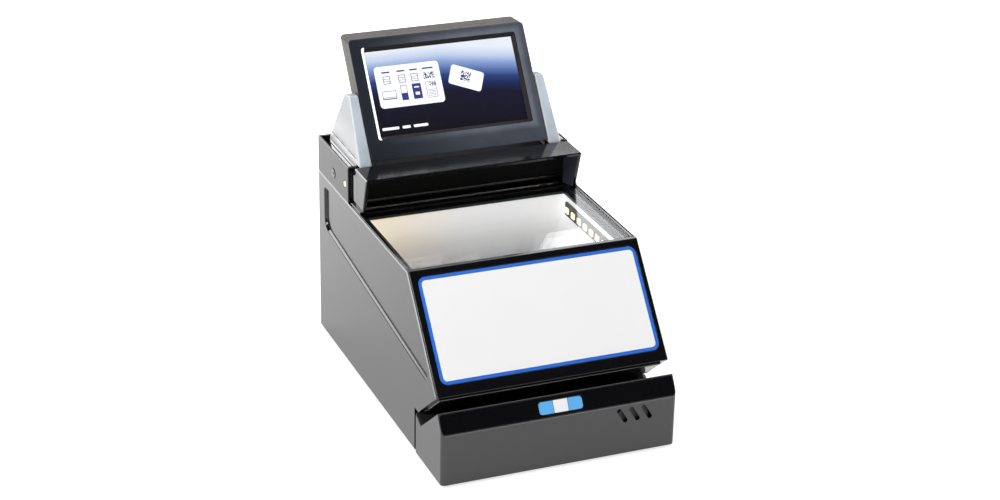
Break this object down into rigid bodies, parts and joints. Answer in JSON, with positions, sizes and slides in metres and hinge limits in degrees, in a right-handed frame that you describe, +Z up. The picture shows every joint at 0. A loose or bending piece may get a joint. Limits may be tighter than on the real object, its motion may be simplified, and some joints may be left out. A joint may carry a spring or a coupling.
{
  "type": "passport reader",
  "caption": "Counter-top passport reader with a document glass under a rear hood, a swipe slot across its sloping front and a small display that tilts between two cheeks.",
  "frame": {"origin": "middle of the footprint, on the surface that the feet stand on", "axes": "+X to the user's right, +Y from the user towards the rear, +Z up; the front block with the swipe slot is at -Y"},
  "size_m": [0.1406, 0.2152, 0.1907],
  "materials": {
    "gloss_black": "glossy black moulding",
    "satin_grey": "satin dark grey moulding",
    "dull_black": "dull black moulding",
    "frosted_clear": "frosted translucent white",
    "white_diffuser": "even white",
    "blue_surround": "saturated blue",
    "pale_blue_guide": "pale blue light guide",
    "amber_lens": "small amber lens",
    "clear_glass": "clear polished",
    "screen": "dark screen behind glass",
    "circuit_board": "green board",
    "bright_steel": "bright plain steel",
    "black_rubber": "dull black rubber"
  },
  "bodies": {
    "casing": {"antenna_board": "circuit_board", "base_plate": "dull_black", "base_screw_front_left": "bright_steel", "base_screw_front_right": "bright_steel", "base_screw_rear_left": "bright_steel", "base_screw_rear_right": "bright_steel", "block_inlay": "gloss_black", "button_switch": "dull_black", "camera_barrel": "dull_black", "camera_board": "circuit_board", "camera_lens": "clear_glass", "document_frame": "gloss_black", "document_glass": "clear_glass", "foot_front_left": "black_rubber", "foot_front_right": "black_rubber", "foot_rear_left": "black_rubber", "foot_rear_right": "black_rubber", "friction_washer_left": "dull_black", "friction_washer_right": "dull_black", "front_bezel": "gloss_black", "front_block": "satin_grey", "front_sheet": "white_diffuser", "front_surround": "blue_surround", "glass_gasket": "black_rubber", "hood": "gloss_black", "hood_carrier": "dull_black", "indicator_lens": "amber_lens", "lamp_left": "circuit_board", "lamp_right": "circuit_board", "left_cheek": "frosted_clear", "left_side_panel": "gloss_black", "main_board": "circuit_board", "power_socket": "dull_black", "rear_cover": "gloss_black", "rear_panel": "dull_black", "rear_screw_left": "bright_steel", "rear_screw_right": "bright_steel", "right_cheek": "frosted_clear", "right_side_panel": "gloss_black", "scan_chamber": "white_diffuser", "shield_can": "bright_steel", "side_board": "circuit_board", "slot_wall": "gloss_black", "speaker": "dull_black", "status_board": "circuit_board", "status_light_left": "pale_blue_guide", "status_light_middle": "white_diffuser", "status_light_right": "pale_blue_guide", "swipe_head": "dull_black", "swipe_window": "clear_glass", "usb_socket": "bright_steel"},
    "display": {"display_bezel": "satin_grey", "display_glass": "clear_glass", "lcd_panel": "screen", "display_board": "circuit_board", "display_back": "satin_grey", "hinge_pin_left": "bright_steel", "hinge_pin_right": "bright_steel"},
    "button": {"power_button": "satin_grey"}
  },
  "joints": [
    {"name": "display_tilt", "type": "hinge", "parent": "casing", "child": "display", "pos_m": [0, 0.06812, 0.14176], "axis": [-1, 0, 0], "range_deg": [-10, 20]},
    {"name": "power_button_press", "type": "slide", "parent": "casing", "child": "button", "axis": [1, 0, 0], "range_m": [0, 0.0008], "stiffness_N_per_m": 1200, "springref_m": -0.0002}
  ]
}
